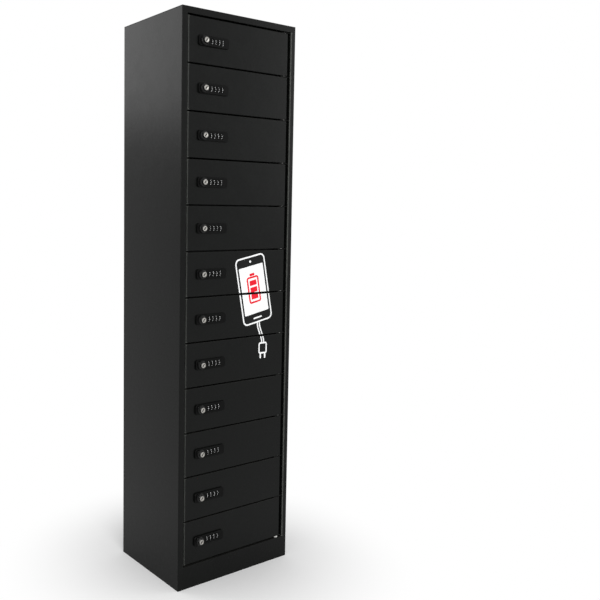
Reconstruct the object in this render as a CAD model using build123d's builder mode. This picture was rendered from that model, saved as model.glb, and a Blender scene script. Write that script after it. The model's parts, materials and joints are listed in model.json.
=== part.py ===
from build123d import *
import math
import os

os.makedirs("parts", exist_ok=True)

# A charging locker for phones: a tall, narrow sheet-steel cabinet with twelve equal doors. Each door turns
# on two pivots near its right edge and is shut by a combination lock near its left edge.
# Millimetres. X runs to the right as one faces the doors, Y into the cabinet, Z up. The origin is on the
# floor, in the middle of the space that the cabinet takes up with its knobs and rear screws.

# Cabinet
cabinet_width = 380
cabinet_depth = 280  # from the frame's face to the rear flanges
cabinet_height = 1500
sheet = 1.2
corner_bevel = 0.8  # upright corners of the front
top_rail = 16.5
kick_height = 60
stile_width = 16
stile_return = 20  # how deep the stile on the hinge side turns in
stop_width = 15  # reach of the door stop past the stile on the lock side
rail_return = 18
rear_flange = 15
top_drop = 12  # rear fold of the top
foot_width = 36  # folds of the base that stand on the floor

# Doors
door_count = 12
door_sheet = 1.5
door_depth = 16
door_rim = 0.9  # bevel of the door's front edges
door_recess = 3  # door's face behind the frame's face
door_gap = 3.7  # above, between and below the doors
lock_side_gap = 4.5
hinge_side_gap = 9
stop_clearance = 0.5  # between the door's folds and the stop behind them

# Pivot hinges
pivot_inset = 8  # pivot from the door's right edge
pivot_depth = 6.5  # pivot behind the door's face
pin_radius = 2.5
pin_fit = 0.06
pin_reach = 2.5  # pin past the door's fold
pin_head_radius = 5
pin_head = 1.5
tab_thickness = 1.9
tab_length = 31
tab_front = 1.0  # tab's front edge behind the door's face
tab_depth = 14.5
washer_radius = 4.2
bush_radius = 6.4  # bush under the lowest door
washer_play = 0.25
swing_clearance = 0.8

# Compartments
shelf_lip = 12
compartment_depth = 215  # frame's face to the inner back
back_flange = 15

# Combination lock
plate_length = 96
plate_height = 26
plate_thickness = 5
plate_corner = 4
plate_rim = 0.8
plate_inset = 30.7  # plate's left end from the door's left edge
housing_inset = 3  # housing inside the plate's outline at each end
housing_height = 22
cutout_clearance = 0.3
housing_rear_gap = 0.7  # housing to cam
knob_inset = 17  # knob from the plate's left end
wheel_count = 4
wheel_pitch = 11.4
first_wheel = 41  # first wheel from the plate's left end
wheel_radius = 8.6
wheel_width = 5.8
wheel_faces = 10
wheel_axis_depth = 7  # wheel's axis behind the plate's face
wheel_side_clearance = 0.4
wheel_rim_clearance = 0.4
window_skin = 1.2  # plate in front of the wheels' chamber
wheel_spindle_radius = 1.5
wheel_spindle_end = 3  # spindle past the outer wheels' pockets
running_fit = 0.05

# Knob and cam
skirt_radius = 12
skirt_thickness = 4
skirt_taper = 12
knob_gap = 0.3
grip_length = 22
grip_width = 9
grip_height = 5
grip_slope = (3.5, 4.2)  # how far each end of the grip slopes, along it and down its height
plug_radius = 7
plug_proud = 0.4
keyway_length = 8
keyway_width = 1.5
keyway_depth = 1.2
shaft_radius = 5
cam_clearance = 0.4  # cam behind the stop
cam_thickness = 3
cam_width = 14
cam_reach = 44
nut_radius = 7.5
nut_thickness = 4

# The small round pieces, of which there are many, are drawn with this many flats
knob_flats = 10
washer_flats = 8
pin_flats = 6
shaft_flats = 6

# Charging sockets
socket_width = 52
socket_height = 34
socket_face = 2.5
socket_body_width = 42
socket_body_height = 24
socket_body_depth = 22
port_width = 14
port_height = 6.5
port_depth = 12

# Rear cover, its screws and the power inlet
cover_inset = 4
cover_bottom = 30
cover_top_inset = 6
vent_length = 60
vent_width = 5
vent_pitch = 14
vent_rows = 3
vent_top_inset = 170  # middle of the upper group from the cabinet's top
vent_height = 230  # middle of the lower group
screw_rows = 3
screw_inset = 9.5
screw_end_inset = 45
screw_radius = 2
screw_fit = 0.1
screw_head_radius = 4
screw_head = 2
screw_length = 6
inlet_height = 120
inlet_offset = 105  # from the middle, on the hinge side
inlet_width = 50
inlet_flange_height = 28
inlet_flange = 2
inlet_body_width = 36
inlet_body_height = 24
inlet_body_depth = 20
inlet_mouth_width = 26
inlet_mouth_height = 17
inlet_mouth_depth = 15
inlet_pin_width = 2
inlet_pin_height = 4
inlet_pin_length = 9
inlet_pin_pitch = 7
inlet_pin_rise = 2

# Places that follow from the sizes above
left = -cabinet_width / 2
right = cabinet_width / 2
plate_stand = plate_thickness - door_recess  # plate's face in front of the frame
knob_height = knob_gap + skirt_thickness + grip_height + plug_proud
front_stand = plate_stand + knob_height
back_stand = sheet + screw_head
front = -(front_stand + cabinet_depth + back_stand) / 2 + front_stand
rear = front + cabinet_depth
inner_width = cabinet_width - 2 * sheet
flange_gap = cabinet_width - 2 * rear_flange  # clear width between the rear flanges
cap_bottom = cabinet_height - sheet

opening_bottom = kick_height
opening_top = cabinet_height - top_rail
door_pitch = (opening_top - opening_bottom - door_gap) / door_count
door_height = door_pitch - door_gap
door_left = left + stile_width + lock_side_gap
door_right = right - stile_width - hinge_side_gap
door_width = door_right - door_left
door_middle = (door_left + door_right) / 2
door_face = front + door_recess

pivot_x = door_right - pivot_inset
pivot_y = door_face + pivot_depth
swing_radius = math.hypot(pivot_inset, door_depth - pivot_depth)  # rear corner of the hinge-side fold
stop_depth = door_recess + door_depth + stop_clearance
shelf_front = pivot_y + swing_radius + swing_clearance
back_face = front + compartment_depth
washer_thickness = (door_gap - tab_thickness) / 2 - washer_play
bush_height = door_gap - washer_play

plate_face = door_face - plate_thickness
plate_left = door_left + plate_inset
plate_middle = plate_left + plate_length / 2
housing_length = plate_length - 2 * housing_inset
cam_front = front + stop_depth + sheet + cam_clearance
housing_rear = cam_front - housing_rear_gap
knob_x = plate_left + knob_inset
skirt_back = plate_face - knob_gap
skirt_front = skirt_back - skirt_thickness
grip_front = skirt_front - grip_height
wheel_axis_y = plate_face + wheel_axis_depth
wheel_places = [plate_left + first_wheel + i * wheel_pitch for i in range(wheel_count)]
window_width = wheel_width + 2 * wheel_side_clearance
chamber_radius = wheel_radius + wheel_rim_clearance
chamber_left = wheel_places[0] - window_width / 2
chamber_right = wheel_places[-1] + window_width / 2
window_height = 2 * math.sqrt(chamber_radius**2 - (wheel_axis_depth - window_skin) ** 2)


def facing(y):
    # An upright plane at depth y. Its normal points out of the cabinet's front.
    return Plane.XZ.offset(-y)


def folded(*points):
    # The section of a sheet folded along its outer line. The sheet lies to the left of that line.
    with BuildSketch() as section:
        with BuildLine():
            outer = Polyline(*points)
            offset(outer, amount=sheet, side=Side.LEFT, kind=Kind.INTERSECTION)
        make_face()
    return section.sketch


def shaft(radius, flats=pin_flats):
    # A round that stays inside the radius
    return RegularPolygon(radius, flats)


def bore(radius, flats=pin_flats, mode=Mode.ADD):
    # A hole that clears the radius all round
    return RegularPolygon(radius, flats, major_radius=False, mode=mode)


def write(part, name):
    part.label = name
    export_step(part, f"parts/{name}.step")


# Heights: doors are counted from the top, gaps from the one above the first door
door_bottoms = [opening_top - number * door_pitch for number in range(1, door_count + 1)]
gap_middles = [opening_top - door_gap / 2 - number * door_pitch for number in range(door_count + 1)]

# Screws of the rear cover
screw_reach = cabinet_width / 2 - screw_inset
screw_low = cover_bottom + screw_end_inset
screw_high = cabinet_height - cover_top_inset - screw_end_inset
screw_step = (screw_high - screw_low) / (screw_rows - 1)
screw_heights = [screw_low + row * screw_step for row in range(screw_rows)]


def make_side(side, edge, stile_path):
    # Wall and rear flange over the full height, and the stile between the rails. side is -1 or 1.
    wall = [(edge, front + sheet), (edge, rear), (edge - side * rear_flange, rear)]
    with BuildPart() as panel:
        with BuildSketch():
            add(folded(*(wall if side > 0 else reversed(wall))))
        extrude(amount=cap_bottom)
        with BuildSketch(Plane.XY.offset(opening_bottom)):
            add(folded(*(stile_path if side < 0 else reversed(stile_path))))
        extrude(amount=opening_top - opening_bottom)
        corner = panel.edges().filter_by(Axis.Z).filter_by_position(Axis.Y, front, front)
        chamfer(corner.sort_by(Axis.X)[-1 if side > 0 else 0], length=corner_bevel)
        with BuildSketch(facing(rear)):
            with Locations(*[(side * screw_reach, height) for height in screw_heights]):
                bore(screw_radius + screw_fit, shaft_flats)
        extrude(amount=sheet, mode=Mode.SUBTRACT)
    return panel.part


# On the lock side the stile ends in a stop that the doors shut against, and that the cams turn behind
left_stile = [
    (left, rear - rear_flange),
    (left, front),
    (left + stile_width, front),
    (left + stile_width, front + stop_depth),
    (left + stile_width + stop_width, front + stop_depth),
]
write(make_side(-1, left, left_stile), "left_side")

# On the hinge side it has no stop, because the doors swing through there
right_stile = [
    (right, rear - rear_flange),
    (right, front),
    (right - stile_width, front),
    (right - stile_width, front + stile_return),
]
write(make_side(1, right, right_stile), "right_side")

# Top: a cap over both sides, with the front rail, the rail's return and a rear drop
with BuildPart() as top_panel:
    with BuildSketch(Plane.YZ):
        add(folded((rear, cabinet_height), (front, cabinet_height), (front, opening_top)))
    extrude(amount=cabinet_width / 2, both=True)
    corners = top_panel.edges().filter_by(Axis.Z).filter_by_position(Axis.Y, front, front)
    chamfer(corners, length=corner_bevel)
    with BuildSketch(Plane.YZ):
        add(folded((front, cabinet_height), (front, opening_top), (front + rail_return, opening_top)))
    extrude(amount=inner_width / 2, both=True)
    with BuildSketch(Plane.YZ):
        add(folded((rear, cabinet_height - top_drop), (rear, cabinet_height), (front, cabinet_height)))
    extrude(amount=flange_gap / 2, both=True)
write(top_panel.part, "top_panel")

# Base: kick plate, floor of the lowest compartment, and a folded foot in front and behind
with BuildPart() as base_panel:
    with BuildSketch(Plane.YZ):
        with Locations((front + sheet / 2, kick_height / 2)):
            Rectangle(sheet, kick_height)
    extrude(amount=cabinet_width / 2, both=True)
    corners = base_panel.edges().filter_by(Axis.Z).filter_by_position(Axis.Y, front, front)
    chamfer(corners, length=corner_bevel)
    with BuildSketch(Plane.YZ):
        add(
            folded(
                (rear - sheet, kick_height),
                (front, kick_height),
                (front, 0),
                (front + foot_width, 0),
            )
        )
    extrude(amount=inner_width / 2, both=True)
    with BuildSketch(Plane.YZ):
        add(folded((rear - foot_width, 0), (rear, 0), (rear, kick_height), (front, kick_height)))
    extrude(amount=flange_gap / 2, both=True)
    with BuildSketch(Plane.XY.offset(kick_height)):
        with Locations((pivot_x, pivot_y)):
            bore(pin_radius + pin_fit)
    extrude(amount=-sheet, mode=Mode.SUBTRACT)
write(base_panel.part, "base_panel")

# Inner back: closes the compartments off from the wiring space and carries the sockets
socket_places = [(0, bottom + door_height / 2) for bottom in door_bottoms]
with BuildPart() as inner_back:
    with BuildSketch(Plane.XY.offset(kick_height)):
        add(
            folded(
                (left + sheet, back_face + back_flange),
                (left + sheet, back_face),
                (right - sheet, back_face),
                (right - sheet, back_face + back_flange),
            )
        )
    extrude(amount=cap_bottom - kick_height)
    with BuildSketch(facing(back_face)):
        with Locations(*socket_places):
            Rectangle(socket_body_width + 2 * cutout_clearance, socket_body_height + 2 * cutout_clearance)
    extrude(amount=-sheet, mode=Mode.SUBTRACT)
write(inner_back.part, "inner_back")

# Shelves: one behind each gap between two doors, folded down in front and behind
with BuildPart() as shelves:
    for middle in gap_middles[1:-1]:
        top = middle + sheet / 2
        with BuildSketch(Plane.YZ):
            add(
                folded(
                    (back_face, top - shelf_lip),
                    (back_face, top),
                    (shelf_front, top),
                    (shelf_front, top - shelf_lip),
                )
            )
        extrude(amount=inner_width / 2, both=True)
write(shelves.part, "shelves")

# Hinge brackets: in each gap a tab on the right stile with its pin riveted in, and the pin in the base
tab_right = right - stile_width
pin_end = door_gap / 2 + door_sheet + pin_reach  # from a gap's middle
with BuildPart() as hinge_brackets:
    for number, middle in enumerate(gap_middles[:-1]):
        with BuildSketch(Plane.XY.offset(middle - tab_thickness / 2)):
            with Locations((tab_right - tab_length / 2, door_face + tab_front + tab_depth / 2)):
                Rectangle(tab_length, tab_depth)
        extrude(amount=tab_thickness)
        rise = tab_thickness / 2 if number == 0 else pin_end
        with BuildSketch(Plane.XY.offset(middle - pin_end)):
            with Locations((pivot_x, pivot_y)):
                shaft(pin_radius)
        extrude(amount=pin_end + rise)
    with BuildSketch(Plane.XY.offset(kick_height - sheet - pin_head)):
        with Locations((pivot_x, pivot_y)):
            shaft(pin_head_radius)
    extrude(amount=pin_head)
    with BuildSketch(Plane.XY.offset(kick_height - sheet)):
        with Locations((pivot_x, pivot_y)):
            shaft(pin_radius)
    extrude(amount=sheet + door_gap / 2 + pin_end)
write(hinge_brackets.part, "hinge_brackets")

# Nylon washers: under the top tab, on each tab between two doors, and a wider and taller bush on the base
washer_bottoms = [gap_middles[0] - tab_thickness / 2 - washer_thickness]
washer_bottoms += [middle + tab_thickness / 2 for middle in gap_middles[1:-1]]
washer_sizes = [(bottom, washer_radius, washer_thickness) for bottom in washer_bottoms]
washer_sizes += [(kick_height, bush_radius, bush_height)]
with BuildPart() as hinge_washers:
    for bottom, radius, height in washer_sizes:
        with BuildSketch(Plane.XY.offset(bottom)):
            with Locations((pivot_x, pivot_y)):
                shaft(radius, washer_flats)
                bore(pin_radius + pin_fit, mode=Mode.SUBTRACT)
        extrude(amount=height)
write(hinge_washers.part, "hinge_washers")

# Charging sockets: a face on the inner back, a body in its cut-out and one port
with BuildPart() as charging_sockets:
    with BuildSketch(facing(back_face)):
        with Locations(*socket_places):
            Rectangle(socket_width, socket_height)
    extrude(amount=socket_face)
    with BuildSketch(facing(back_face)):
        with Locations(*socket_places):
            Rectangle(socket_body_width, socket_body_height)
    extrude(amount=-socket_body_depth)
    with BuildSketch(facing(back_face - socket_face)):
        with Locations(*socket_places):
            Rectangle(port_width, port_height)
    extrude(amount=-port_depth, mode=Mode.SUBTRACT)
write(charging_sockets.part, "charging_sockets")

# Rear cover: screwed over the rear flanges, with two groups of vents and the inlet's cut-out
cover_width = cabinet_width - 2 * cover_inset
cover_top = cabinet_height - cover_top_inset
screw_places = [(side * screw_reach, height) for side in (-1, 1) for height in screw_heights]
inlet_place = (inlet_offset, inlet_height)
with BuildPart() as rear_cover:
    with BuildSketch(facing(rear)):
        with Locations((0, (cover_bottom + cover_top) / 2)):
            Rectangle(cover_width, cover_top - cover_bottom)
        with Locations(*screw_places):
            bore(screw_radius + screw_fit, shaft_flats, mode=Mode.SUBTRACT)
        for middle in (vent_height, cabinet_height - vent_top_inset):
            with Locations((0, middle)):
                with GridLocations(vent_length + vent_pitch, vent_pitch, 2, vent_rows):
                    Rectangle(vent_length, vent_width, mode=Mode.SUBTRACT)
        with Locations(inlet_place):
            Rectangle(
                inlet_body_width + 2 * cutout_clearance,
                inlet_body_height + 2 * cutout_clearance,
                mode=Mode.SUBTRACT,
            )
    extrude(amount=-sheet)
write(rear_cover.part, "rear_cover")

# Screws of the rear cover
with BuildPart() as cover_screws:
    with BuildSketch(facing(rear + sheet)):
        with Locations(*screw_places):
            RegularPolygon(screw_head_radius, 6)
    extrude(amount=-screw_head)
    with BuildSketch(facing(rear + sheet)):
        with Locations(*screw_places):
            shaft(screw_radius, shaft_flats)
    extrude(amount=screw_length)
write(cover_screws.part, "cover_screws")

# Power inlet: a flange on the rear cover, a body through it, and three flat pins in its mouth
inlet_face = rear + sheet + inlet_flange
inlet_pins = [(-inlet_pin_pitch, -inlet_pin_rise), (0, inlet_pin_rise), (inlet_pin_pitch, -inlet_pin_rise)]
with BuildPart() as power_inlet:
    with BuildSketch(facing(rear + sheet)):
        with Locations(inlet_place):
            Rectangle(inlet_width, inlet_flange_height)
    extrude(amount=-inlet_flange)
    with BuildSketch(facing(rear + sheet)):
        with Locations(inlet_place):
            Rectangle(inlet_body_width, inlet_body_height)
    extrude(amount=inlet_body_depth)
    with BuildSketch(facing(inlet_face)):
        with Locations(inlet_place):
            Rectangle(inlet_mouth_width, inlet_mouth_height)
    extrude(amount=inlet_mouth_depth, mode=Mode.SUBTRACT)
    with BuildSketch(facing(inlet_face - inlet_mouth_depth)):
        with Locations(*[(inlet_place[0] + dx, inlet_place[1] + dz) for dx, dz in inlet_pins]):
            Rectangle(inlet_pin_width, inlet_pin_height)
    extrude(amount=-inlet_pin_length)
write(power_inlet.part, "power_inlet")


def make_door(bottom):
    # A pan of sheet folded back on all four sides, with the lock's cut-out and two pivot holes
    with BuildPart() as door:
        with BuildSketch(facing(door_face)):
            with Locations((door_middle, bottom + door_height / 2)):
                Rectangle(door_width, door_height)
        extrude(amount=-door_depth)
        chamfer(door.faces().sort_by(Axis.Y)[0].edges(), length=door_rim)
        with BuildSketch(facing(door_face + door_sheet)):
            with Locations((door_middle, bottom + door_height / 2)):
                Rectangle(door_width - 2 * door_sheet, door_height - 2 * door_sheet)
        extrude(amount=-door_depth, mode=Mode.SUBTRACT)
        with BuildSketch(facing(door_face)):
            with Locations((plate_middle, bottom + door_height / 2)):
                Rectangle(housing_length + 2 * cutout_clearance, housing_height + 2 * cutout_clearance)
        extrude(amount=-door_sheet, mode=Mode.SUBTRACT)
        with BuildSketch(Plane.XY.offset(bottom)):
            with Locations((pivot_x, pivot_y)):
                bore(pin_radius + pin_fit)
        extrude(amount=door_height, mode=Mode.SUBTRACT)
    return door.part


def make_lock_body(middle):
    # The face plate with its four windows, and the housing behind it: the knob's shaft runs right through,
    # and the wheels turn in a chamber with their spindle borne at both ends
    with BuildPart() as body:
        with BuildSketch(facing(door_face)):
            with Locations((plate_middle, middle)):
                Rectangle(plate_length, plate_height)
            chamfer(vertices(), length=plate_corner)
        extrude(amount=plate_thickness)
        chamfer(body.faces().sort_by(Axis.Y)[0].edges(), length=plate_rim)
        with BuildSketch(facing(door_face)):
            with Locations((plate_middle, middle)):
                Rectangle(housing_length, housing_height)
        extrude(amount=door_face - housing_rear)
        with BuildSketch(facing(plate_face)):
            with Locations((knob_x, middle)):
                bore(shaft_radius + running_fit, shaft_flats)
        extrude(amount=plate_face - housing_rear, mode=Mode.SUBTRACT)
        with BuildSketch(facing(plate_face + window_skin)):
            with Locations(((chamber_left + chamber_right) / 2, middle)):
                Rectangle(chamber_right - chamber_left, 2 * chamber_radius)
        extrude(amount=window_skin - wheel_axis_depth - chamber_radius, mode=Mode.SUBTRACT)
        with BuildSketch(facing(plate_face)):
            with Locations(*[(place, middle) for place in wheel_places]):
                Rectangle(window_width, window_height)
        extrude(amount=-window_skin, mode=Mode.SUBTRACT)
        with BuildSketch(Plane.YZ.offset(chamber_left - wheel_spindle_end)):
            with Locations((wheel_axis_y, middle)):
                bore(wheel_spindle_radius + running_fit, shaft_flats)
        extrude(amount=chamber_right - chamber_left + 2 * wheel_spindle_end, mode=Mode.SUBTRACT)
    return body.part


def make_number_wheels(middle):
    # Four number wheels, one flat to each numeral, on their spindle
    spindle_end = wheel_spindle_end - running_fit
    with BuildPart() as wheels:
        for place in wheel_places:
            with BuildSketch(Plane.YZ.offset(place - wheel_width / 2)):
                with Locations((wheel_axis_y, middle)):
                    RegularPolygon(wheel_radius, wheel_faces, rotation=180 / wheel_faces)
            extrude(amount=wheel_width)
        with BuildSketch(Plane.YZ.offset(chamber_left - spindle_end)):
            with Locations((wheel_axis_y, middle)):
                shaft(wheel_spindle_radius, shaft_flats)
        extrude(amount=chamber_right - chamber_left + 2 * spindle_end)
    return wheels.part


def make_lock_knob(middle):
    # The turning half of the lock: skirt, grip with its key plug, shaft, cam and nut. Unlocked, the cam
    # hangs down. A quarter turn points it at the lock side, behind the stop.
    with BuildPart() as knob:
        with BuildSketch(facing(skirt_back)):
            with Locations((knob_x, middle)):
                shaft(skirt_radius, knob_flats)
        extrude(amount=skirt_thickness, taper=skirt_taper)
        with BuildSketch(facing(skirt_front)):
            with Locations((knob_x, middle)):
                Rectangle(grip_length, grip_width, rotation=-45)
        extrude(amount=grip_height)
        tips = knob.faces().filter_by(Axis.Y).sort_by(Axis.Y)[0].edges().sort_by(SortBy.LENGTH)[:2]
        chamfer(tips, *grip_slope, reference=knob.faces().filter_by(Axis.Y).sort_by(Axis.Y)[0])
        with BuildSketch(facing(skirt_front)):
            with Locations((knob_x, middle)):
                shaft(plug_radius, knob_flats)
        extrude(amount=grip_height)
        with BuildSketch(facing(grip_front)):
            with Locations((knob_x, middle)):
                shaft(plug_radius, knob_flats)
        extrude(amount=plug_proud)
        with BuildSketch(facing(grip_front - plug_proud)):
            with Locations((knob_x, middle)):
                Rectangle(keyway_length, keyway_width, rotation=45)
        extrude(amount=-keyway_depth, mode=Mode.SUBTRACT)
        with BuildSketch(facing(skirt_back)):
            with Locations((knob_x, middle)):
                shaft(shaft_radius, shaft_flats)
        extrude(amount=skirt_back - cam_front)
        with BuildSketch(facing(cam_front)):
            with Locations((knob_x, middle + (cam_width / 2 - cam_reach) / 2)):
                Rectangle(cam_width, cam_reach + cam_width / 2)
            chamfer(vertices().group_by(Axis.Y)[0], length=cam_width / 4)
        extrude(amount=-cam_thickness)
        with BuildSketch(facing(cam_front + cam_thickness)):
            with Locations((knob_x, middle)):
                RegularPolygon(nut_radius, 6)
        extrude(amount=-nut_thickness)
    return knob.part


for number, bottom in enumerate(door_bottoms, start=1):
    middle = bottom + door_height / 2
    write(make_door(bottom), f"door_{number:02d}")
    write(make_lock_body(middle), f"lock_body_{number:02d}")
    write(make_number_wheels(middle), f"number_wheels_{number:02d}")
    write(make_lock_knob(middle), f"lock_knob_{number:02d}")

print(f"door {door_width:.1f} x {door_height:.2f}, pitch {door_pitch:.3f}, swing radius {swing_radius:.2f}")
print(f"front {front:.2f}, rear {rear:.2f}, pivot {pivot_x:.2f} {pivot_y:.2f}, cam front {cam_front:.2f}")
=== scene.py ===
import json
import math

import bmesh
import bpy
from mathutils import Matrix, Vector


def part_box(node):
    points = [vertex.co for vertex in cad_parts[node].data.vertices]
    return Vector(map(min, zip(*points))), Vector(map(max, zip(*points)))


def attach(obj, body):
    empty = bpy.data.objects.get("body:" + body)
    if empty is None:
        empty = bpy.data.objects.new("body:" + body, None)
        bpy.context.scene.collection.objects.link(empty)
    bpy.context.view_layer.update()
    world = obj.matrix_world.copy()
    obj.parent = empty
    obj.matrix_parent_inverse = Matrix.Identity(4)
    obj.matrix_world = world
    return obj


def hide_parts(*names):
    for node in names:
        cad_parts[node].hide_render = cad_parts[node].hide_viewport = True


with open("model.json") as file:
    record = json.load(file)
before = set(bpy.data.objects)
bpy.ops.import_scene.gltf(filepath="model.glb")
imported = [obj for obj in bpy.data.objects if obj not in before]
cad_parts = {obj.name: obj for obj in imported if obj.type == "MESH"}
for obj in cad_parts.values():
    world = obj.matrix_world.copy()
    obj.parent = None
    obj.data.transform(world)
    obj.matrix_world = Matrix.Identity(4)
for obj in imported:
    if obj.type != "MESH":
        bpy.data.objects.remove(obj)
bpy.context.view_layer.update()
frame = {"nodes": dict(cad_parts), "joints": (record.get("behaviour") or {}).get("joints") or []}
mm = 0.001
nodes = frame["nodes"]
joints = {joint["name"]: Vector(joint["pos_m"]) for joint in frame["joints"]}
doorNumbers = sorted(name[-2:] for name in nodes if name.startswith("door_"))
print("frame loaded:", len(nodes), "nodes,", len(doorNumbers), "doors")


# camera: fitted to the cabinet's corners and door gaps in the photograph,
# for the size that the CAD has and an aim that was chosen
view = {
    "place": (-1.262, -1.6735, 0.99),
    "turn": 34.856,  # degrees to the right of straight at the doors
    "tilt": -4.433,
    "roll": 0.463,
    "focal": 743.82,  # in pixels of the photograph
    "photo": 600,  # pixels along each side
    "aim": (180, 270),  # pixel that the lens looks straight at
    "sensor": 36,
}


def makeCamera():
    lens = bpy.data.cameras.new("camera")
    lens.sensor_width = view["sensor"]
    lens.lens = view["focal"] / view["photo"] * view["sensor"]
    lens.shift_x = 0.5 - view["aim"][0] / view["photo"]
    lens.shift_y = view["aim"][1] / view["photo"] - 0.5
    lens.clip_end = 50
    camera = bpy.data.objects.new("camera", lens)
    bpy.context.scene.collection.objects.link(camera)
    turn = Matrix.Rotation(math.radians(-view["turn"]), 4, "Z")
    tilt = Matrix.Rotation(math.radians(90 + view["tilt"]), 4, "X")
    roll = Matrix.Rotation(math.radians(view["roll"]), 4, "Z")
    camera.matrix_world = Matrix.Translation(view["place"]) @ turn @ tilt @ roll
    bpy.context.scene.camera = camera


makeCamera()
print("camera placed")


# shader maths: an operator on a Wire adds a Math node
class Wire:
    def __init__(self, paint, socket):
        self.paint = paint
        self.socket = socket

    def calc(self, operation, *values):
        return self.paint.node("Math", {"operation": operation}, dict(enumerate(values)))

    def __add__(self, other):
        return self.calc("ADD", self, other)

    def __sub__(self, other):
        return self.calc("SUBTRACT", self, other)

    def __rsub__(self, other):
        return self.calc("SUBTRACT", other, self)

    def __mul__(self, other):
        return self.calc("MULTIPLY", self, other)

    __radd__ = __add__
    __rmul__ = __mul__


# one material with its nodes
class Paint:
    def __init__(self, name, tree=None):
        if tree is None:
            self.material = bpy.data.materials.new(name)
            self.material.use_nodes = True
            tree = self.material.node_tree
        self.tree = tree
        self.tree.nodes.clear()

    def node(self, kind, settings=None, sockets=None, output=0):
        made = self.tree.nodes.new("ShaderNode" + kind)
        for name, value in (settings or {}).items():
            if name == "stops":
                for stop, (position, colour) in zip(made.color_ramp.elements, value):
                    stop.position = position
                    stop.color = colour
            else:
                setattr(made, name, value)
        for name, value in (sockets or {}).items():
            if isinstance(value, Wire):
                self.tree.links.new(value.socket, made.inputs[name])
            else:
                made.inputs[name].default_value = value
        return Wire(self, made.outputs[output]) if made.outputs else None

    def place(self):
        return self.node("TexCoord", output="Object")

    def noise(self, size, detail=2, stretch=(1, 1, 1)):
        # size is the width of one cloud of the noise, in metres
        spread = self.node("Mapping", None, {"Vector": self.place(), "Scale": stretch})
        return self.node("TexNoise", None, {"Vector": spread, "Scale": 1 / size, "Detail": detail})

    def mix(self, share, first, second):
        return self.node("Mix", {"data_type": "RGBA"}, {0: share, 6: first, 7: second}, output=2)

    def bump(self, height, depth, strength=1.0, over=None):
        sockets = {"Height": height, "Distance": depth, "Strength": strength}
        if over:
            sockets["Normal"] = over
        return self.node("Bump", None, sockets)

    def clamp(self, value):
        return self.node("Clamp", None, {"Value": value})

    def surface(self, sockets):
        shader = self.node("BsdfPrincipled", None, sockets)
        self.node("OutputMaterial", None, {"Surface": shader})
        return self.material


def tint(colour, factor=1.0):
    return tuple(part * factor for part in colour) + (1.0,)


# powder coat: satin, with orange peel and slow clouds in tone
coat = {
    "cabinet": (0.0042, 0.0045, 0.0042),
    "door": (0.0046, 0.005, 0.0047),
    "inside": (0.0052, 0.0053, 0.005),
    "cloud": 0.35,
    "patch": 0.04,
    "peel": 0.0014,
    "peelDepth": 0.00005,
    "grain": 0.0004,
    "rough": 0.27,
    "gloss": 0.1,
    "fold": 0.0018,  # radius that the bends of the sheet seem to have
    "foldRays": 6,
    # colour that up-facing faces take: dust, and painted highlight on the top edges of the doors and on the
    # ledges under the gaps
    "dustAndHighlight": (0.015, 0.015, 0.014),
    "dustAndHighlightFrom": 0.3,  # how far a face looks up where the dust and the painted highlight begin
    "dustAndHighlightGain": 1.5,
    # colour of the painted highlight along the left folds of the doors and the inner fold of the hinge stile
    "edgeWearAndHighlight": (0.075, 0.078, 0.072),
    "edgeHighlightReach": 0.0045,
    "edgeHighlightFade": 1.3,
    "edgeHighlightGain": 9,
    # where the painted highlight lies on the folds: x, reach each way, tone
    "doorEdgeHighlight": (-0.1695, 0.005, 1.0),
    "hingeEdgeHighlight": (0.1735, 0.006, 1.5),
}


def powderCoat(name, colour, rough, highlightBand=None):
    paint = Paint(name)
    cloud = paint.noise(coat["cloud"], 3)
    patch = paint.noise(coat["patch"], 4)
    peel = paint.noise(coat["peel"], 2)
    grain = paint.noise(coat["grain"], 1)
    tone = cloud * 0.6 + patch * 0.4
    base = paint.mix(tone, tint(colour, 0.8), tint(colour, 1.25))
    roughness = rough + (patch - 0.5) * 0.1 + (grain - 0.5) * 0.06
    height = peel * 0.8 + grain * 0.2
    fold = paint.node("Bevel", {"samples": coat["foldRays"]}, {"Radius": coat["fold"]})
    # faces that look up are lightened: dust, and painted highlight on top edges and ledges
    up = paint.node("SeparateXYZ", None, {0: fold}, output="Z")
    dustAndHighlightShare = paint.clamp((up - coat["dustAndHighlightFrom"]) * coat["dustAndHighlightGain"]) * (0.4 + patch)
    base = paint.mix(dustAndHighlightShare, base, tint(coat["dustAndHighlight"]))
    # painted highlight: lighter along a fold, only within a band in x
    if highlightBand:
        middle, reach, shade = highlightBand
        flat = paint.node("NewGeometry", output="True Normal")
        bend = paint.node("Bevel", {"samples": coat["foldRays"]}, {"Radius": coat["edgeHighlightReach"]})
        same = paint.node("VectorMath", {"operation": "DOT_PRODUCT"}, {0: bend, 1: flat}, output="Value")
        aside = paint.node("SeparateXYZ", None, {0: paint.place()}, output="X") - middle
        near = paint.clamp(coat["edgeHighlightFade"] - aside.calc("ABSOLUTE", aside) * (1 / reach))
        highlightShare = paint.clamp((1 - same) * coat["edgeHighlightGain"]) * near * (0.5 + patch)
        base = paint.mix(highlightShare, base, tint(coat["edgeWearAndHighlight"], shade))
    return paint.surface({
        "Base Color": base,
        "Roughness": roughness,
        "Specular IOR Level": coat["gloss"],
        "Normal": paint.bump(height, coat["peelDepth"], 0.6, fold),
    })


# moulded plastic: spark-eroded texture, a little gloss
moulded = {
    "lock": (0.0022, 0.0023, 0.0022),
    "knob": (0.0022, 0.0023, 0.0022),
    "wheel": (0.0024, 0.0024, 0.0024),
    # painted shade: near black on the walls and floor of the key plug's slot, for its depth
    "keywayShade": (0.001, 0.001, 0.001),
    "socket": (0.022, 0.022, 0.023),
    "inlet": (0.014, 0.014, 0.014),
    "texture": 0.00035,
    "flow": 0.012,
}


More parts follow.
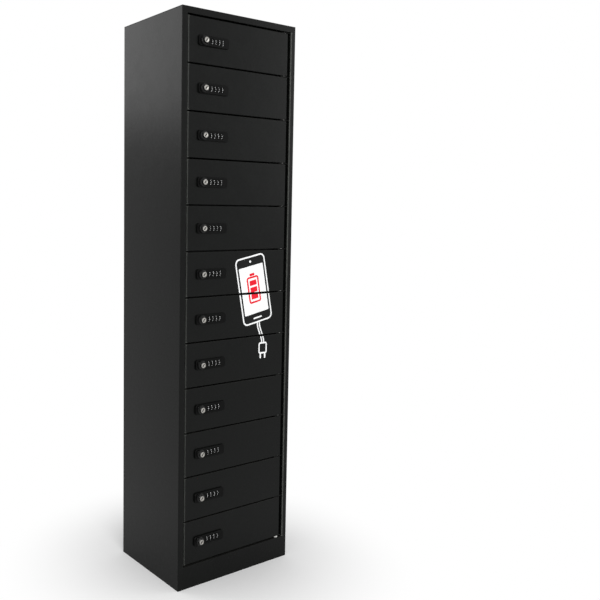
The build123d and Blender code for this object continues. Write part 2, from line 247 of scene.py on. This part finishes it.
def plastic(name, colour, rough, depth, gloss=0.5):
    paint = Paint(name)
    texture = paint.noise(moulded["texture"], 2)
    flow = paint.noise(moulded["flow"], 3)
    return paint.surface({
        "Base Color": paint.mix(flow, tint(colour, 0.85), tint(colour, 1.2)),
        "Roughness": rough + (flow - 0.5) * 0.1 + (texture - 0.5) * 0.08,
        "Specular IOR Level": gloss,
        "Normal": paint.bump(texture, depth, 0.5),
    })


# nylon: white, slightly waxy
nylonWhite = {"colour": (0.8, 0.8, 0.77), "patch": 0.004, "rough": 0.42}


def nylon():
    paint = Paint("whiteNylon")
    patch = paint.noise(nylonWhite["patch"], 3)
    colour = nylonWhite["colour"]
    return paint.surface({
        "Base Color": paint.mix(patch, tint(colour, 0.93), tint(colour, 1.04)),
        "Roughness": nylonWhite["rough"] + (patch - 0.5) * 0.1,
        "Subsurface Weight": 0.15,
        "Subsurface Radius": (0.001, 0.001, 0.001),
        "Normal": paint.bump(patch, 0.00003, 0.4),
    })


# metals: turned or plated
metals = {
    "nickel": (0.42, 0.41, 0.385),
    "zinc": (0.58, 0.59, 0.6),
    "brass": (0.72, 0.56, 0.3),
    "scratch": 0.0003,
    "smear": 0.006,
}


def metal(name, colour, rough, stretch=(1, 1, 12)):
    paint = Paint(name)
    scratch = paint.noise(metals["scratch"], 2, stretch)
    smear = paint.noise(metals["smear"], 3)
    return paint.surface({
        "Base Color": paint.mix(smear, tint(colour, 0.86), tint(colour, 1.08)),
        "Metallic": 1.0,
        "Roughness": rough + (smear - 0.5) * 0.12 + (scratch - 0.5) * 0.1,
        "Normal": paint.bump(scratch, 0.00001, 0.5),
    })


# printed vinyl film
vinyl = {
    "white": (0.9, 0.91, 0.91),
    "dark": (0.006, 0.0065, 0.0065),
    "red": (0.78, 0.012, 0.03),
    "ripple": 0.02,
    "rough": 0.36,
    "gloss": 0.12,
}


def film(name, colour):
    paint = Paint(name)
    ripple = paint.noise(vinyl["ripple"], 3)
    fibre = paint.noise(coat["peel"], 2)
    return paint.surface({
        "Base Color": paint.mix(ripple, tint(colour, 0.95), tint(colour, 1.04)),
        "Roughness": vinyl["rough"] + (ripple - 0.5) * 0.1,
        "Specular IOR Level": vinyl["gloss"],
        "Normal": paint.bump(fibre, 0.00002, 0.5),
    })


def lampLens():
    # a small green pilot lamp, unlit
    paint = Paint("lampLens")
    flow = paint.noise(moulded["flow"], 2)
    return paint.surface({
        "Base Color": paint.mix(flow, (0.02, 0.2, 0.05, 1), (0.03, 0.3, 0.08, 1)),
        "Roughness": 0.18 + flow * 0.05,
        "Coat Weight": 0.5,
    })


paints = {
    "cabinet": powderCoat("cabinetCoat", coat["cabinet"], coat["rough"]),
    "hingeSide": powderCoat("hingeSideCoat", coat["cabinet"], coat["rough"], coat["hingeEdgeHighlight"]),
    "door": powderCoat("doorCoat", coat["door"], coat["rough"], coat["doorEdgeHighlight"]),
    "inside": powderCoat("insideCoat", coat["inside"], coat["rough"] + 0.06),
    "lock": plastic("lockPlastic", moulded["lock"], 0.36, 0.00003, 0.07),
    "knob": plastic("knobPlastic", moulded["knob"], 0.2, 0.00001, 0.25),
    "wheel": plastic("wheelPlastic", moulded["wheel"], 0.3, 0.00001, 0.1),
    "socket": plastic("socketPlastic", moulded["socket"], 0.48, 0.00003),
    "inlet": plastic("inletPlastic", moulded["inlet"], 0.42, 0.00002),
    "keywayShade": plastic("keyholeShade", moulded["keywayShade"], 0.6, 0.00002, 0.02),
    "nylon": nylon(),
    "nickel": metal("nickelPlate", metals["nickel"], 0.24),
    "zinc": metal("zincPlate", metals["zinc"], 0.34),
    "brass": metal("brassPins", metals["brass"], 0.3),
    "white": film("whiteFilm", vinyl["white"]),
    "dark": film("darkFilm", vinyl["dark"]),
    "red": film("redFilm", vinyl["red"]),
    "lamp": lampLens(),
}
print("materials made:", len(paints))


# carried-over nodes: which paint each has, and how far its edges are broken
edgeWearAndHighlight = {
    "left_side": ("cabinet", 0.35),
    "right_side": ("hingeSide", 0.35),
    "top_panel": ("cabinet", 0.35),
    "base_panel": ("cabinet", 0.35),
    "rear_cover": ("cabinet", 0.25),
    "inner_back": ("inside", 0.25),
    "shelves": ("inside", 0.3),
    "hinge_brackets": ("inside", 0.3),
    "charging_sockets": ("socket", 0.5),
    "power_inlet": ("inlet", 0.5),
    "door": ("door", 0.4),
    "lock_body": ("lock", 0.3),
    "number_wheels": ("wheel", 0.35),
}


def dressNodes():
    for name, node in nodes.items():
        paint, edge = edgeWearAndHighlight.get(name.rstrip("0123456789").rstrip("_"), edgeWearAndHighlight.get(name, (None, 0)))
        if paint is None:
            continue
        for holder in node.material_slots:
            holder.material = paints[paint]
        bevel = node.modifiers.new("edges", "BEVEL")
        bevel.width = edge * mm
        bevel.segments = 2
        bevel.limit_method = "ANGLE"
        bevel.angle_limit = math.radians(28)
        bevel.harden_normals = True


dressNodes()
print("nodes dressed")


# mesh helpers: shapes are drawn in millimetres as seen from the front, x right, y up, z towards the viewer
toFront = Matrix(((mm, 0, 0, 0), (0, 0, -mm, 0), (0, mm, 0, 0), (0, 0, 0, 1)))


def circle(radius, steps=48):
    angles = [2 * math.pi * step / steps for step in range(steps)]
    return [(radius * math.cos(angle), radius * math.sin(angle)) for angle in angles]


def roundedBox(width, height, corner, steps=6):
    points = []
    for quarter, (sideX, sideY) in enumerate([(1, 1), (-1, 1), (-1, -1), (1, -1)]):
        centre = (sideX * (width / 2 - corner), sideY * (height / 2 - corner))
        for step in range(steps + 1):
            angle = math.pi / 2 * (quarter + step / steps)
            points.append((centre[0] + corner * math.cos(angle), centre[1] + corner * math.sin(angle)))
    return points


def moved(points, x=0.0, y=0.0, turn=0.0):
    c, s = math.cos(math.radians(turn)), math.sin(math.radians(turn))
    return [(x + px * c - py * s, y + px * s + py * c) for px, py in points]


def ring(shape, points, height):
    return [shape.verts.new((x, y, height)) for x, y in points]


def wall(shape, lower, upper):
    for index in range(len(lower)):
        after = (index + 1) % len(lower)
        shape.faces.new((lower[index], lower[after], upper[after], upper[index]))


def cap(shape, loops):
    # flat face between one outline and any holes in it
    edges = []
    for loop in loops:
        for index in range(len(loop)):
            pair = (loop[index], loop[(index + 1) % len(loop)])
            edges.append(shape.edges.get(pair) or shape.edges.new(pair))
    bmesh.ops.triangle_fill(shape, edges=edges, use_beauty=True)


def slab(shape, outline, back, front):
    lower, upper = ring(shape, outline, back), ring(shape, outline, front)
    wall(shape, lower, upper)
    cap(shape, [lower])
    cap(shape, [upper])


def lathe(shape, profile, steps=48):
    # profile runs from the axis round to the axis again, or is a closed loop of (radius, height)
    rings = []
    for radius, height in profile:
        rings.append(ring(shape, circle(radius, steps) if radius else [(0, 0)], height))
    pairs = list(zip(rings, rings[1:]))
    if profile[0][0] > 0:
        pairs.append((rings[-1], rings[0]))
    for lower, upper in pairs:
        if len(lower) == 1 or len(upper) == 1:
            tip, loop = (lower[0], upper) if len(lower) == 1 else (upper[0], lower)
            for index in range(steps):
                shape.faces.new((tip, loop[index], loop[(index + 1) % steps]))
        else:
            wall(shape, lower, upper)


def asMesh(name, shape, matrix=toFront, sharp=32):
    bmesh.ops.transform(shape, matrix=matrix, verts=shape.verts)
    bmesh.ops.recalc_face_normals(shape, faces=shape.faces)
    mesh = bpy.data.meshes.new(name)
    shape.to_mesh(mesh)
    shape.free()
    mesh.polygons.foreach_set("use_smooth", [True] * len(mesh.polygons))
    mesh.set_sharp_from_angle(angle=math.radians(sharp))
    return mesh


def piece(name, mesh, body, materials, place=(0, 0, 0), edge=0.0):
    if not mesh.materials:
        for material in materials:
            mesh.materials.append(paints[material])
    made = bpy.data.objects.new(name, mesh)
    bpy.context.scene.collection.objects.link(made)
    made.location = place
    if edge:
        bevel = made.modifiers.new("edges", "BEVEL")
        bevel.width = edge * mm
        bevel.segments = 2
        bevel.limit_method = "ANGLE"
        bevel.angle_limit = math.radians(40)
    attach(made, body)
    return made


# knob, key plug, and the cam with its nut behind the door
knob = {
    "skirt": 12,
    "skirtTop": 11.1,
    "skirtBack": 0.3,  # in front of the lock's plate
    "skirtFront": 4.3,
    "gripLength": 22,
    "gripWidth": 9,
    "gripSquareness": 5,
    "gripSteps": 96,
    "gripSunk": 0.2,  # foot of the grip below the skirt's face
    "gripTurn": -45,
    "tip": (3.5, 4.2),  # each end of the grip slopes this far along it and down its height
    "tipBlend": 0.12,
    "boss": 7.6,
    "gripFront": 9.3,
    "topRings": 8,
    "plug": 6.7,
    "plugPlay": 0.08,
    "plugFront": 9.7,
    "rim": 1.1,
    "sunk": 0.35,  # face of the plug behind its rim
    "keyway": (8.8, 2.6),
    "keyTurn": 52,
    "shaft": 4.9,
    "camFront": -23.1,
    "camBack": -26.1,
    "camWidth": 14,
    "camReach": 44,
    "nut": 7.4,
    "nutBack": -30.1,
}


def gripOutline(inset):
    half = (knob["gripLength"] / 2 - inset, knob["gripWidth"] / 2 - inset)
    power = knob["gripSquareness"]
    points = []
    for step in range(knob["gripSteps"]):
        angle = 2 * math.pi * step / knob["gripSteps"]
        c, s = math.cos(angle), math.sin(angle)
        bar = ((abs(c) / half[0]) ** power + (abs(s) / half[1]) ** power) ** (-1 / power)
        radius = max(bar, knob["boss"] - inset)
        points.append((radius * c, radius * s))
    return moved(points, turn=knob["gripTurn"])


def gripRing(shape, points, level):
    # the ends of the grip slope down, which squashes every level of it there
    run, drop = knob["tip"]
    foot = knob["skirtFront"] - knob["gripSunk"]
    angle = math.radians(knob["gripTurn"])
    ringVerts = []
    for x, y in points:
        past = abs(x * math.cos(angle) + y * math.sin(angle)) - (knob["gripLength"] / 2 - run)
        fall = drop / run * (past + math.sqrt(past * past + knob["tipBlend"])) / 2
        squash = (knob["gripFront"] - fall - foot) / (knob["gripFront"] - foot)
        ringVerts.append(shape.verts.new((x, y, foot + (level - foot) * squash)))
    return ringVerts


def knobMesh():
    shape = bmesh.new()
    back, front = knob["skirtBack"], knob["skirtFront"]
    lathe(shape, [
        (0, back),
        (knob["skirt"] - 0.3, back),
        (knob["skirt"], back + 0.3),
        (knob["skirt"], back + 1.1),
        (knob["skirt"] - 0.25, back + 1.35),
        (knob["skirtTop"] + 0.2, front - 0.5),
        (knob["skirtTop"] - 0.1, front - 0.15),
        (knob["skirtTop"] - 0.5, front),
        (0, front),
    ], 72)
    top = knob["gripFront"]
    levels = [(front - knob["gripSunk"], -0.5), (front + 0.25, -0.1), (front + 0.6, 0.05), (top - 0.9, 0.25)]
    levels += [(top - 0.35, 0.4), (top - 0.1, 0.65), (top, 1.0)]
    rings = [gripRing(shape, gripOutline(inset), height) for height, inset in levels]
    edge = gripOutline(1.0)
    seat = knob["plug"] + knob["plugPlay"]
    for step in range(1, knob["topRings"] + 1):
        # the top closes in from the grip's edge to the round seat of the plug
        share = step / knob["topRings"]
        points = []
        for x, y in edge:
            reach = math.hypot(x, y)
            radius = reach + (seat - reach) * share
            points.append((x / reach * radius, y / reach * radius))
        rings.append(gripRing(shape, points, top))
    rings.append(ring(shape, points, front + 2))
    for lower, upper in zip(rings, rings[1:]):
        wall(shape, lower, upper)
    cap(shape, rings[:1])
    cap(shape, rings[-1:])
    return asMesh("knob", shape)


def plugMesh():
    shape = bmesh.new()
    back, front = knob["gripFront"] - 2, knob["plugFront"]
    outer = knob["plug"]
    slot = moved(roundedBox(*knob["keyway"], 0.6, 4), turn=knob["keyTurn"])
    rim, face = knob["rim"], front - knob["sunk"]
    levels = [(back, 0), (front - 0.35, 0), (front - 0.1, 0.12), (front, 0.4), (front, rim - 0.2),
              (front - 0.1, rim), (face - 0.12, rim + 0.1), (face, rim + 0.3)]
    rings = [ring(shape, circle(outer - inset, 64), height) for height, inset in levels]
    for lower, upper in zip(rings, rings[1:]):
        wall(shape, lower, upper)
    cap(shape, rings[:1])
    mouth = [ring(shape, slot, height) for height in (face, face - 1.3)]
    cap(shape, [rings[-1], mouth[0]])
    before = set(shape.faces)
    wall(shape, *mouth)
    cap(shape, mouth[1:])
    # the slot's walls and floor take the painted shade
    for dark in set(shape.faces) - before:
        dark.material_index = 1
    return asMesh("keyPlug", shape)


def camMesh():
    shape = bmesh.new()
    camFront, camBack, nutBack = knob["camFront"], knob["camBack"], knob["nutBack"]
    lathe(shape, [(0, nutBack), (3.6, nutBack), (4, nutBack + 0.4), (4, camBack), (0, camBack)], 32)
    shaft, shaftFront = knob["shaft"], knob["skirtBack"]
    lathe(shape, [(0, camFront), (shaft, camFront), (shaft, shaftFront), (0, shaftFront)], 32)
    half = knob["camWidth"] / 2
    outline = []
    for turn, drop in ((0, 0), (math.pi, knob["camReach"] - half)):
        for step in range(17):
            angle = turn + math.pi * step / 16
            outline.append((half * math.cos(angle), half * math.sin(angle) - drop))
    slab(shape, outline, camBack, camFront)
    slab(shape, circle(knob["nut"], 6), nutBack + 1.2, camBack - 0.02)
    return asMesh("cam", shape)


# numerals on the flats of the number wheels
numerals = {
    "wheels": 4,
    "faces": 10,
    "height": 2.8,
    "out": 8.18,  # flat's distance from the axis
    "proud": 0.05,
    "bold": 0.012,
    "pitch": 11.4,
    "firstPlace": -17.1,  # first wheel from the wheels' middle
    "codeStep": (3, 7),  # how the shown numeral changes from lock to lock and wheel to wheel
}


def numeralMeshes():
    meshes = []
    for numeral in range(numerals["faces"]):
        curve = bpy.data.curves.new("numeral", "FONT")
        curve.body = str(numeral)
        curve.extrude = numerals["proud"]
        curve.offset = numerals["bold"]
        curve.resolution_u = 3
        written = bpy.data.objects.new("numeral", curve)
        bpy.context.scene.collection.objects.link(written)
        bpy.context.view_layer.update()
        ready = written.evaluated_get(bpy.context.evaluated_depsgraph_get())
        mesh = bpy.data.meshes.new_from_object(ready)
        xs, ys = [v.co.x for v in mesh.vertices], [v.co.y for v in mesh.vertices]
        size = numerals["height"] / (max(ys) - min(ys))
        middle = Vector(((max(xs) + min(xs)) / 2, (max(ys) + min(ys)) / 2, 0))
        mesh.transform(Matrix.Diagonal((size, size, 1, 1)) @ Matrix.Translation(-middle))
        bpy.data.objects.remove(written)
        meshes.append(mesh)
    return meshes


def numeralRing(written, lock):
    shape = bmesh.new()
    for wheel in range(numerals["wheels"]):
        for face in range(numerals["faces"]):
            step, across = numerals["codeStep"]
            mesh = written[(face + step * lock + across * wheel * (lock + 1)) % numerals["faces"]]
            out = Matrix.Translation((numerals["firstPlace"] + wheel * numerals["pitch"], 0, 0))
            turn = Matrix.Rotation(-2 * math.pi * face / numerals["faces"], 4, "X")
            lift = Matrix.Translation((0, 0, numerals["out"]))
            before = len(shape.verts)
            shape.from_mesh(mesh)
            shape.verts.ensure_lookup_table()
            bmesh.ops.transform(shape, matrix=out @ turn @ lift, verts=shape.verts[before:])
    return asMesh("numerals", shape)


def makeLocks():
    knobShape, plugShape, camShape = knobMesh(), plugMesh(), camMesh()
    written = numeralMeshes()
    for lock, number in enumerate(doorNumbers):
        place = joints[f"knob_{number}_turn"]
        body = f"knob_{number}"
        grip = piece(f"lockKnob_{number}", knobShape, body, ["knob"], place)
        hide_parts(f"lock_knob_{number}")
        piece(f"keyPlug_{number}", plugShape, body, ["nickel", "keywayShade"], place)
        piece(f"lockCam_{number}", camShape, body, ["zinc"], place, 0.3)
        axle = joints[f"wheels_{number}_turn"]
        digits = numeralRing(written, lock)
        piece(f"numerals_{number}", digits, f"wheels_{number}", ["white"], axle)


makeLocks()
print("locks made")


# washers on the hinge pins, and the taller bush on the base
washer = {"radius": 4.15, "bush": 6.35, "bore": 2.56, "gap": 3.7, "tab": 1.9, "play": 0.12, "edge": 0.12}


def washerProfile(low, high, edge, outer):
    inner = washer["bore"]
    return [
        (inner, low), (outer - edge, low), (outer, low + edge), (outer, high - edge),
        (outer - edge, high), (inner + edge, high), (inner, high - edge),
    ]


def makeWashers():
    shape = bmesh.new()
    low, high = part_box("hinge_washers")
    thick = (washer["gap"] - washer["tab"]) / 2 - washer["play"]
    edge, outer = washer["edge"], washer["radius"]
    lathe(shape, washerProfile(high.z / mm - thick, high.z / mm, edge, outer), 40)
    for upper in doorNumbers[:-1]:
        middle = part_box(f"door_{upper}")[0].z / mm - washer["gap"] / 2
        foot = middle + washer["tab"] / 2
        lathe(shape, washerProfile(foot, foot + thick, edge, outer), 40)
    tall = washer["gap"] - washer["play"]
    lathe(shape, washerProfile(low.z / mm, low.z / mm + tall, 3 * edge, washer["bush"]), 40)
    upright = Matrix.Diagonal((mm, mm, mm, 1))
    pivot = joints[f"door_{doorNumbers[0]}_hinge"]
    made = piece("hingeWashers", asMesh("washers", shape, upright), "cabinet", ["nylon"],
                 (pivot.x, pivot.y, 0))
    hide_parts("hinge_washers")


makeWashers()
print("washers made")


# screws of the rear cover: pan heads with a cross recess
screw = {"head": 4, "height": 2, "shank": 1.9, "length": 6, "cross": (4.4, 0.9), "crossDepth": 1.1, "rows": 3}


def crossOutline(length, width):
    a, b = length / 2, width / 2
    return [
        (a, -b), (a, b), (b, b), (b, a), (-b, a), (-b, b),
        (-a, b), (-a, -b), (-b, -b), (-b, -a), (b, -a), (b, -b),
    ]


def screwMesh():
    shape = bmesh.new()
    top, head = screw["height"], screw["head"]
    levels = [(0, head - 0.15), (0.3, head), (0.9, head - 0.15), (1.5, head - 0.8), (top, 2.9)]
    rings = [ring(shape, circle(radius, 40), height) for height, radius in levels]
    for lower, upper in zip(rings, rings[1:]):
        wall(shape, lower, upper)
    cap(shape, rings[:1])
    recess = [ring(shape, crossOutline(*screw["cross"]), height) for height in (top, top - screw["crossDepth"])]
    wall(shape, *recess)
    cap(shape, [rings[-1], recess[0]])
    cap(shape, recess[1:])
    end, shank = -screw["length"], screw["shank"]
    lathe(shape, [(0, end), (shank - 0.4, end), (shank, end + 0.4), (shank, 0), (0, 0)], 24)
    # the head looks out of the cabinet's back
    return asMesh("coverScrew", shape, Matrix.Rotation(math.pi, 4, "Z") @ toFront)


def makeScrews():
    mesh = screwMesh()
    low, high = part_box("cover_screws")
    head = screw["head"] * mm
    count = 0
    for x in (low.x + head, high.x - head):
        for row in range(screw["rows"]):
            z = low.z + head + (high.z - low.z - 2 * head) * row / (screw["rows"] - 1)
            count += 1
            place = (x, high.y - screw["height"] * mm, z)
            made = piece(f"coverScrew_{count}", mesh, "cabinet", ["zinc"], place)
    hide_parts("cover_screws")


makeScrews()
print("screws made")


# inside the sockets and the inlet
contacts = {
    "tongue": (11.5, 1.6),
    "tongueDepth": 9.5,
    "portDepth": 12,
    "lamp": 1.6,
    "lampDome": 0.5,  # height of the lens for its radius
    "lampAside": 19,
    "pin": (2.1, 4.1),
    "pinLength": 9.05,
    "pinPlaces": ((-7, -2), (0, 2), (7, -2)),
    "mouthDepth": 15,
}


def makeContacts():
    low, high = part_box("charging_sockets")
    for number in doorNumbers:
        middle = joints[f"door_{number}_hinge"].z
        tongue = bmesh.new()
        port = contacts["portDepth"]
        slab(tongue, roundedBox(*contacts["tongue"], 0.5, 3), -port, contacts["tongueDepth"] - port)
        piece(f"portTongue_{number}", asMesh("tongue", tongue), "cabinet", ["nylon"], (0, low.y, middle))
        lens = bmesh.new()
        radius, rise = contacts["lamp"], contacts["lamp"] * contacts["lampDome"]
        angles = [math.pi / 2 * step / 6 for step in range(6)]
        dome = [(radius * math.cos(angle), rise * math.sin(angle)) for angle in angles]
        lathe(lens, [(0, -0.4), (radius, -0.4), *dome, (0, rise)], 24)
        piece(f"pilotLamp_{number}", asMesh("lamp", lens), "cabinet", ["lamp"],
              (contacts["lampAside"] * mm, low.y, middle))
    low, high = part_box("power_inlet")
    pins = bmesh.new()
    for x, y in contacts["pinPlaces"]:
        # mirrored, because this faces backwards
        slab(pins, moved(roundedBox(*contacts["pin"], 0.5, 3), -x, y), 0, contacts["pinLength"])
    backwards = Matrix.Rotation(math.pi, 4, "Z") @ toFront
    place = ((low.x + high.x) / 2, high.y - contacts["mouthDepth"] * mm, (low.z + high.z) / 2)
    piece("inletPins", asMesh("inletPins", pins, backwards), "cabinet", ["brass"], place)


makeContacts()
print("contacts made")


# drawing on the middle doors: a phone on its lead, own design, cut where the doors part
drawing = {
    "place": (57, 782),  # middle of the phone on the front, in millimetres
    "lean": 11,
    "body": (104, 186, 15),
    "line": 4.2,
    "screen": (85, 132, 3),
    "battery": (42, 74, 7),
    "batteryLine": 5,
    "batteryCap": (17, 7, 2),
    "bars": 3,
    "bar": (24, 14, 1.5),
    "barPitch": 19,
    "camera": 3.2,
    "swipe": (30, 4.4, 2.2),
    "lead": 11,
    "leadCore": 3.4,
    "leadStart": (0, -93),
    "plug": (30, 32, 6),
    "plugPlace": (92, 618),
    "prong": (5, 15, 1.5),
    "prongAside": 8,
    "film": 0.06,
    "margin": 1.2,
}


def band(line, width):
    # outline of an even band along a line of points
    left, right = [], []
    for index, point in enumerate(line):
        before, after = line[max(index - 1, 0)], line[min(index + 1, len(line) - 1)]
        along = Vector((after[0] - before[0], after[1] - before[1])).normalized()
        left.append((point[0] - along.y * width / 2, point[1] + along.x * width / 2))
        right.append((point[0] + along.y * width / 2, point[1] - along.x * width / 2))
    return left + right[::-1]


def leadLine(steps=28):
    # an S from the phone's foot down to the plug
    start = moved([drawing["leadStart"]], *drawing["place"], drawing["lean"])[0]
    end = (drawing["plugPlace"][0], drawing["plugPlace"][1] + drawing["plug"][1] / 2 - 2)
    points = []
    for step in range(steps + 1):
        t = step / steps
        ease = t * t * (3 - 2 * t)
        points.append((start[0] + (end[0] - start[0]) * ease, start[1] + (end[1] - start[1]) * t))
    return points


def drawnShapes():
    # (film number, layer, outline) from the lowest layer up
    middle, lean = drawing["place"], drawing["lean"]
    at = lambda points, x=0.0, y=0.0: moved(moved(points, x, y), *middle, lean)
    width, height, corner = drawing["body"]
    line = drawing["line"]
    shapes = [(0, 1, band(leadLine(), drawing["lead"]))]
    shapes.append((1, 2, band(leadLine(), drawing["leadCore"])))
    plugX, plugY = drawing["plugPlace"]
    shapes.append((0, 3, moved(roundedBox(*drawing["plug"]), plugX, plugY)))
    for side in (-1, 1):
        prong = moved(roundedBox(*drawing["prong"]), plugX + side * drawing["prongAside"],
                      plugY - drawing["plug"][1] / 2 - drawing["prong"][1] / 2 + 2)
        shapes.append((0, 2, prong))
    inner = (drawing["plug"][0] - 2 * line, drawing["plug"][1] - 2 * line, 2)
    shapes.append((1, 4, moved(roundedBox(*inner), plugX, plugY)))
    shapes.append((0, 3, at(roundedBox(width, height, corner, 10))))
    shapes.append((1, 4, at(roundedBox(width - 2 * line, height - 2 * line, corner - line, 10))))
    shapes.append((0, 5, at(roundedBox(*drawing["screen"]))))
    shapes.append((0, 5, at(circle(drawing["camera"], 24), y=height / 2 - 15)))
    shapes.append((0, 5, at(roundedBox(*drawing["swipe"]), y=-height / 2 + 14)))
    bw, bh, bc = drawing["battery"]
    capW, capH, capC = drawing["batteryCap"]
    bl = drawing["batteryLine"]
    shapes.append((2, 6, at(roundedBox(bw, bh, bc))))
    shapes.append((2, 6, at(roundedBox(capW, capH, capC), y=bh / 2 + capH / 2 + 1.5)))
    shapes.append((0, 7, at(roundedBox(bw - 2 * bl, bh - 2 * bl, bc - bl))))
    for bar in range(drawing["bars"]):
        rise = (bar - (drawing["bars"] - 1) / 2) * drawing["barPitch"]
        shapes.append((2, 8, at(roundedBox(*drawing["bar"]), y=rise)))
    return shapes


def clipped(points, level, keepAbove):
    sign = 1 if keepAbove else -1
    kept = []
    for index, point in enumerate(points):
        before = points[index - 1]
        inside, wasInside = sign * (point[1] - level) >= 0, sign * (before[1] - level) >= 0
        if inside != wasInside:
            share = (level - before[1]) / (point[1] - before[1])
            kept.append((before[0] + share * (point[0] - before[0]), level))
        if inside:
            kept.append(point)
    return kept


def makeDrawing():
    for number in doorNumbers:
        low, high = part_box(f"door_{number}")
        bottom, top = low.z / mm + drawing["margin"], high.z / mm - drawing["margin"]
        shape = bmesh.new()
        for colour, layer, outline in drawnShapes():
            cut = clipped(clipped(outline, bottom, True), top, False)
            if len(cut) < 3:
                continue
            before = set(shape.faces)
            slab(shape, cut, 0, layer * drawing["film"])
            for face in set(shape.faces) - before:
                face.material_index = colour
        if not shape.faces:
            shape.free()
            continue
        mesh = asMesh(f"drawing_{number}", shape)
        piece(f"drawing_{number}", mesh, f"door_{number}", ["white", "dark", "red"], (0, low.y, 0))


makeDrawing()
print("drawing made")


# floor, world and lamps
studio = {
    "floor": 0.93,
    "floorSize": 14,
    "fadeFrom": 0.1,
    "fadeTo": 0.6,
    "fill": 0.5,
}


def seenDirectly(paint):
    # 1 for what the camera sees, itself or in metal and glass
    rays = [paint.node("LightPath", output=f"Is {kind} Ray") for kind in ("Camera", "Glossy", "Transmission")]
    seen = rays[0] + rays[1] + rays[2]
    return seen.calc("MINIMUM", seen, 1.0)


def makeFloor():
    paint = Paint("studioFloor")
    grain = paint.noise(0.03, 2)
    plain, pale = tint((1, 1, 1), studio["floor"]), tint((1, 1, 1), studio["floor"] + 0.02)
    matt = paint.node("BsdfDiffuse", None, {"Color": paint.mix(grain, plain, pale)})
    glow = paint.node("Emission", None, {"Color": (1, 1, 1, 1), "Strength": 1.0})
    away = paint.node("VectorMath", {"operation": "LENGTH"}, {0: paint.place()}, output="Value")
    fade = paint.node("MapRange", {"interpolation_type": "SMOOTHSTEP"},
                      {"Value": away, "From Min": studio["fadeFrom"], "From Max": studio["fadeTo"]})
    lit = paint.node("MixShader", None, {0: fade * seenDirectly(paint), 1: matt, 2: glow})
    paint.node("OutputMaterial", None, {"Surface": lit})
    shape = bmesh.new()
    half = studio["floorSize"] / 2 / mm
    shape.faces.new(ring(shape, [(-half, -half), (half, -half), (half, half), (-half, half)], 0))
    mesh = asMesh("floor", shape, Matrix.Diagonal((mm, mm, mm, 1)))
    mesh.materials.append(paint.material)
    floor = bpy.data.objects.new("floor", mesh)
    bpy.context.scene.collection.objects.link(floor)


def makeWorld():
    world = bpy.data.worlds.new("studio")
    world.use_nodes = True
    bpy.context.scene.world = world
    paint = Paint("studio", world.node_tree)
    fill = paint.node("Background", None, {"Color": (1, 1, 1, 1), "Strength": studio["fill"]})
    white = paint.node("Background", None, {"Color": (1, 1, 1, 1), "Strength": 1.0})
    both = paint.node("MixShader", None, {0: seenDirectly(paint), 1: fill, 2: white})
    paint.node("OutputWorld", None, {"Surface": both})


# each lamp: where it stands, what it looks at, its width and height, its power
lamps = {
    "key": ((-1.2, -2.6, 1.8), (0, 0, 0.7), (1.6, 1.6), 50),
    "side": ((-1.95, 2.6, 2.22), (-0.19, 0, 1.25), (1.9, 1.2), 21),
    "right": ((2.4, -1.6, 1.8), (0, 0, 0.8), (1.2, 1.8), 14),
}


def makeLamps():
    for name, (place, target, size, power) in lamps.items():
        light = bpy.data.lights.new(name, "AREA")
        light.shape = "RECTANGLE"
        light.size, light.size_y = size
        light.energy = power
        lamp = bpy.data.objects.new(name, light)
        bpy.context.scene.collection.objects.link(lamp)
        lamp.location = place
        lamp.rotation_euler = (Vector(target) - Vector(place)).to_track_quat("-Z", "Y").to_euler()


makeFloor()
makeWorld()
makeLamps()
bpy.context.scene.view_settings.view_transform = "Standard"
print("studio made")
